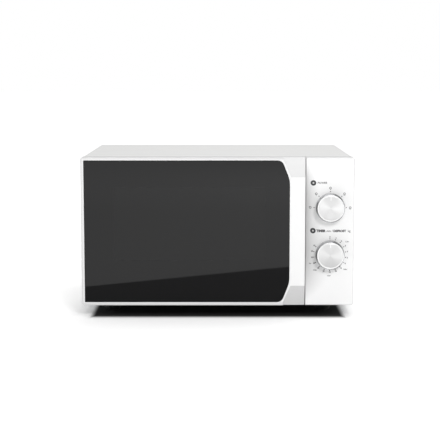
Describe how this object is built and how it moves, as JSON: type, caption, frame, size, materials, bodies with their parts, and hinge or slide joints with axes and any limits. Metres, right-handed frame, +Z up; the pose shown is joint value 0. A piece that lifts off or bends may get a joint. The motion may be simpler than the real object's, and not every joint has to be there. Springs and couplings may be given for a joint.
{
  "type": "microwave oven",
  "caption": "Countertop microwave oven: white wrap case, black glass side-hinged door, control panel with two rotary knobs, glass turntable on a roller ring.",
  "frame": {"origin": "centre of the footprint of the whole object, on the surface that the feet stand on", "axes": "+X across the front towards the control panel, -Y out of the door, +Z up"},
  "size_m": [0.44, 0.3574, 0.259],
  "materials": {
    "case_paint": "white powder coat, fine satin",
    "white_plastic": "white ABS, light gloss",
    "door_glass": "black-backed tempered glass, polished",
    "zinc_steel": "galvanised sheet, dull",
    "cavity_enamel": "light grey baked enamel",
    "black_screen": "black-painted perforated sheet",
    "clear_cover": "clear sheet, polished",
    "black_plastic": "black moulded plastic, matt",
    "foot_rubber": "black rubber, matt",
    "table_glass": "clear tempered glass, polished",
    "nylon": "natural nylon, matt",
    "plated_steel": "bright nickel plate",
    "mica": "pressed mica sheet",
    "lamp_glass": "clear bulb glass",
    "knob_plastic": "silver-white, spun face",
    "switch_plastic": "dark red phenolic",
    "aluminium": "mill finish",
    "lamination_steel": "varnished steel laminations",
    "winding_varnish": "varnished copper wire",
    "circuit_board": "paper-phenolic board"
  },
  "bodies": {
    "oven": {"outer_case": "case_paint", "front_plate": "case_paint", "control_panel": "white_plastic", "base_plate": "zinc_steel", "rear_panel": "zinc_steel", "waveguide": "zinc_steel", "lower_hinge": "zinc_steel", "upper_hinge": "zinc_steel", "turntable_motor": "zinc_steel", "capacitor_clamp": "zinc_steel", "oven_cavity": "cavity_enamel", "fan_shroud": "black_plastic", "diode": "black_plastic", "thermal_cutout": "black_plastic", "foot_front_left": "foot_rubber", "foot_front_right": "foot_rubber", "foot_rear_left": "foot_rubber", "foot_rear_right": "foot_rubber", "cord_gland": "foot_rubber", "interlock_bracket": "nylon", "power_switch": "nylon", "timer": "nylon", "timer_bell": "plated_steel", "mica_cover": "mica", "oven_lamp": "lamp_glass", "primary_switch": "switch_plastic", "monitor_switch": "switch_plastic", "secondary_switch": "switch_plastic", "magnetron": "aluminium", "capacitor": "aluminium", "transformer_core": "lamination_steel", "fan_motor": "lamination_steel", "primary_winding": "winding_varnish", "secondary_winding": "winding_varnish", "noise_filter": "circuit_board"},
    "door": {"door_frame": "white_plastic", "door_glass": "door_glass", "door_choke_frame": "zinc_steel", "door_screen": "black_screen", "door_inner_cover": "clear_cover", "choke_cover": "black_plastic", "lower_hinge_pin": "plated_steel", "upper_hinge_pin": "plated_steel", "latch_spring": "plated_steel"},
    "latch": {"latch_hook": "nylon"},
    "power_control": {"power_knob": "knob_plastic", "power_shaft": "plated_steel"},
    "timer_control": {"timer_knob": "knob_plastic", "timer_shaft": "plated_steel"},
    "table_drive": {"turntable_coupler": "nylon", "motor_shaft": "plated_steel"},
    "glass_plate": {"turntable_plate": "table_glass"},
    "roller_ring": {"roller_ring": "nylon"},
    "roller_a": {"roller_1": "nylon"},
    "roller_b": {"roller_2": "nylon"},
    "roller_c": {"roller_3": "nylon"},
    "fan": {"fan_blade": "black_plastic"},
    "primary_button": {"primary_plunger": "nylon"},
    "monitor_button": {"monitor_plunger": "nylon"},
    "secondary_button": {"secondary_plunger": "nylon"}
  },
  "joints": [
    {"name": "door_hinge", "type": "hinge", "parent": "oven", "child": "door", "pos_m": [-0.2125, -0.15725, 0.139], "axis": [0, 0, -1], "range_deg": [0, 100]},
    {"name": "latch_lift", "type": "slide", "parent": "door", "child": "latch", "axis": [0, 0, 1], "range_m": [0, 0.004], "stiffness_N_per_m": 300, "springref_m": -0.002, "deforming": ["latch_spring"]},
    {"name": "power_knob_turn", "type": "hinge", "parent": "oven", "child": "power_control", "pos_m": [0.1809, -0.16525, 0.1781], "axis": [0, 1, 0], "range_deg": [-90, 90]},
    {"name": "timer_knob_turn", "type": "hinge", "parent": "oven", "child": "timer_control", "pos_m": [0.1809, -0.16525, 0.1018], "axis": [0, 1, 0], "range_deg": [0, 300]},
    {"name": "turntable_spin", "type": "hinge", "parent": "oven", "child": "table_drive", "pos_m": [-0.045, 0.01155, 0.0473], "axis": [0, 0, 1], "continuous": true},
    {"name": "plate_lift", "type": "slide", "parent": "table_drive", "child": "glass_plate", "axis": [0, 0, 1], "range_m": [0, 0.04]},
    {"name": "roller_ring_spin", "type": "hinge", "parent": "oven", "child": "roller_ring", "pos_m": [-0.045, 0.01155, 0.0473], "axis": [0, 0, 1], "continuous": true},
    {"name": "roller_a_spin", "type": "hinge", "parent": "roller_ring", "child": "roller_a", "pos_m": [-0.045, 0.10655, 0.0473], "axis": [0, 1, 0], "continuous": true},
    {"name": "roller_b_spin", "type": "hinge", "parent": "roller_ring", "child": "roller_b", "pos_m": [-0.12727, -0.03595, 0.0473], "axis": [-0.866, -0.5, 0], "continuous": true},
    {"name": "roller_c_spin", "type": "hinge", "parent": "roller_ring", "child": "roller_c", "pos_m": [0.03727, -0.03595, 0.0473], "axis": [0.866, -0.5, 0], "continuous": true},
    {"name": "fan_spin", "type": "hinge", "parent": "oven", "child": "fan", "pos_m": [0.164, 0.15305, 0.167], "axis": [0, 1, 0], "continuous": true},
    {"name": "primary_press", "type": "slide", "parent": "oven", "child": "primary_button", "axis": [0, 1, 0], "range_m": [0, 0.0012], "stiffness_N_per_m": 200},
    {"name": "monitor_press", "type": "slide", "parent": "oven", "child": "monitor_button", "axis": [0, 1, 0], "range_m": [0, 0.0012], "stiffness_N_per_m": 200},
    {"name": "secondary_press", "type": "slide", "parent": "oven", "child": "secondary_button", "axis": [0, 1, 0], "range_m": [0, 0.0012], "stiffness_N_per_m": 200}
  ],
  "couplings": [
    {"joint": "roller_ring_spin", "follows": "turntable_spin", "ratio": 0.5},
    {"joint": "roller_a_spin", "follows": "turntable_spin", "ratio": -6.3333},
    {"joint": "roller_b_spin", "follows": "turntable_spin", "ratio": -6.3333},
    {"joint": "roller_c_spin", "follows": "turntable_spin", "ratio": -6.3333}
  ]
}
